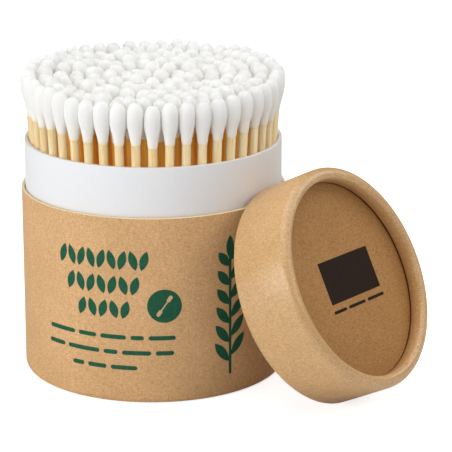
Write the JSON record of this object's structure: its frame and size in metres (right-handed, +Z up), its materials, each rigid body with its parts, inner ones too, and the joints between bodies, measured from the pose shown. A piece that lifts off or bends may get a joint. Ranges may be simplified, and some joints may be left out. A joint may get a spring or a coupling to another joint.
{
  "type": "cotton swab tub",
  "caption": "Round kraft paper tub packed with bamboo cotton swabs that stand on end, with its lid taken off and leaning against the tub's side.",
  "frame": {"origin": "on the floor, on the tub's axis, in the plane of its rolled foot", "axes": "+Z up along the tub's axis; the printed front faces -Y, and the lid leans on the tub towards +X and -Y"},
  "size_m": [0.1072, 0.0918, 0.0825],
  "materials": {
    "kraft_board": "matte brown kraft with fine fibre specks",
    "white_board": "smooth matte white",
    "bamboo": "satin pale bamboo",
    "cotton": "soft white wound cotton"
  },
  "bodies": {
    "root": {"tub_sleeve": "kraft_board", "base_disc": "kraft_board", "tub_liner": "white_board", "lid_shell": "kraft_board", "lid_disc": "kraft_board", "swab_lower_tips_ring_1": "cotton", "swab_stems_ring_1": "bamboo", "swab_upper_tips_ring_1": "cotton", "swab_lower_tips_ring_2": "cotton", "swab_stems_ring_2": "bamboo", "swab_upper_tips_ring_2": "cotton", "swab_lower_tips_ring_3": "cotton", "swab_stems_ring_3": "bamboo", "swab_upper_tips_ring_3": "cotton", "swab_lower_tips_ring_4": "cotton", "swab_stems_ring_4": "bamboo", "swab_upper_tips_ring_4": "cotton", "swab_lower_tips_ring_5": "cotton", "swab_stems_ring_5": "bamboo", "swab_upper_tips_ring_5": "cotton", "swab_lower_tips_ring_6": "cotton", "swab_stems_ring_6": "bamboo", "swab_upper_tips_ring_6": "cotton", "swab_lower_tips_ring_7": "cotton", "swab_stems_ring_7": "bamboo", "swab_upper_tips_ring_7": "cotton", "swab_lower_tips_ring_8": "cotton", "swab_stems_ring_8": "bamboo", "swab_upper_tips_ring_8": "cotton"}
  },
  "joints": []
}
